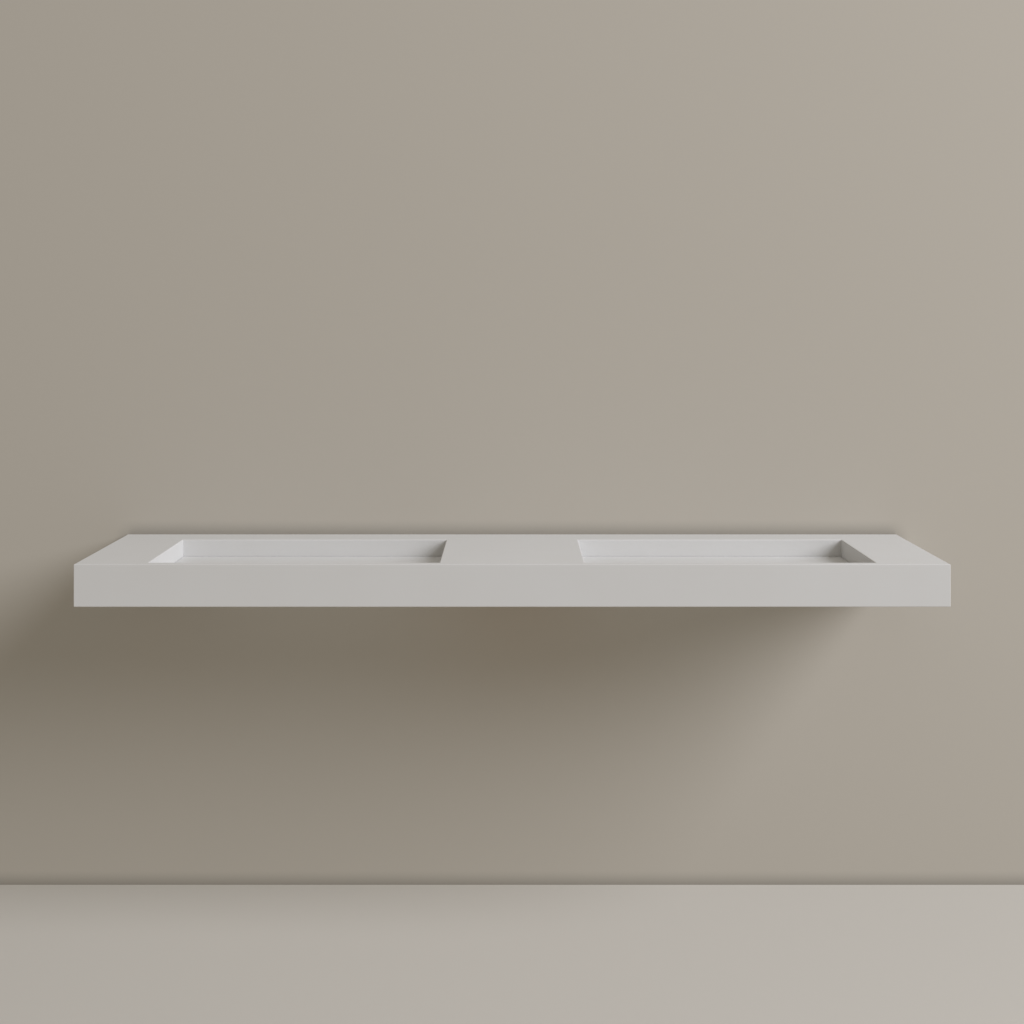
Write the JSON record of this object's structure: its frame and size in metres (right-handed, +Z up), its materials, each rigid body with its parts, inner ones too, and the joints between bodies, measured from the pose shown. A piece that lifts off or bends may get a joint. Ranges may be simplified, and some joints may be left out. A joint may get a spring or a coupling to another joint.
{
  "type": "double sink vanity top",
  "caption": "Wall-hung white solid-surface vanity top with shallow rectangular basins side by side, mitred aprons, lift-out drain covers over grid wastes and hidden steel brackets.",
  "frame": {"origin": "on the wall plane, midway between the two wall bolts of the centre bracket", "axes": "+X along the wall to the right as seen by the user, +Y into the wall, +Z up; the front apron faces -Y"},
  "size_m": [1.8, 0.48, 0.087],
  "materials": {
    "solid_surface": "matt white mineral-filled acrylic, fine sanded",
    "plywood": "sealed birch plywood",
    "bracket_steel": "black powder coat",
    "black_rubber": "matt EPDM",
    "soft_feet": "translucent silicone",
    "stainless_steel": "brushed",
    "chromed_brass": "polished chrome on brass",
    "zinced_steel": "bright zinc plate",
    "brass": "turned",
    "black_plastic": "moulded polyethylene"
  },
  "bodies": {
    "top": {"deck": "solid_surface", "front_apron": "solid_surface", "left_apron": "solid_surface", "right_apron": "solid_surface", "left_front_strip": "solid_surface", "centre_front_strip": "solid_surface", "right_front_strip": "solid_surface", "left_rear_rail": "solid_surface", "left_side_strip": "solid_surface", "right_rear_rail": "solid_surface", "right_side_strip": "solid_surface", "left_basin_front_wall": "solid_surface", "left_basin_back_wall": "solid_surface", "left_basin_inner_wall": "solid_surface", "left_basin_outer_wall": "solid_surface", "left_basin_floor": "solid_surface", "left_sump_plate": "solid_surface", "left_waste_grid": "stainless_steel", "left_waste_body": "chromed_brass", "left_waste_screw": "stainless_steel", "left_grid_seal": "black_rubber", "left_body_seal": "black_rubber", "right_basin_front_wall": "solid_surface", "right_basin_back_wall": "solid_surface", "right_basin_inner_wall": "solid_surface", "right_basin_outer_wall": "solid_surface", "right_basin_floor": "solid_surface", "right_sump_plate": "solid_surface", "right_waste_grid": "stainless_steel", "right_waste_body": "chromed_brass", "right_waste_screw": "stainless_steel", "right_grid_seal": "black_rubber", "right_body_seal": "black_rubber", "left_bracket": "bracket_steel", "left_bearer": "plywood", "left_bearing_pad": "black_rubber", "centre_bracket": "bracket_steel", "centre_bearer": "plywood", "centre_bearing_pad": "black_rubber", "right_bracket": "bracket_steel", "right_bearer": "plywood", "right_bearing_pad": "black_rubber", "arm_end_caps": "black_plastic", "bracket_bolts": "zinced_steel", "bracket_washers": "zinced_steel", "threaded_inserts": "brass"},
    "left_cover": {"left_drain_cover": "solid_surface", "left_cover_feet": "soft_feet"},
    "right_cover": {"right_drain_cover": "solid_surface", "right_cover_feet": "soft_feet"}
  },
  "joints": [
    {"name": "left_cover_lift", "type": "slide", "parent": "top", "child": "left_cover", "axis": [0, 0, 1], "range_m": [0, 0.08]},
    {"name": "right_cover_lift", "type": "slide", "parent": "top", "child": "right_cover", "axis": [0, 0, 1], "range_m": [0, 0.08]}
  ]
}
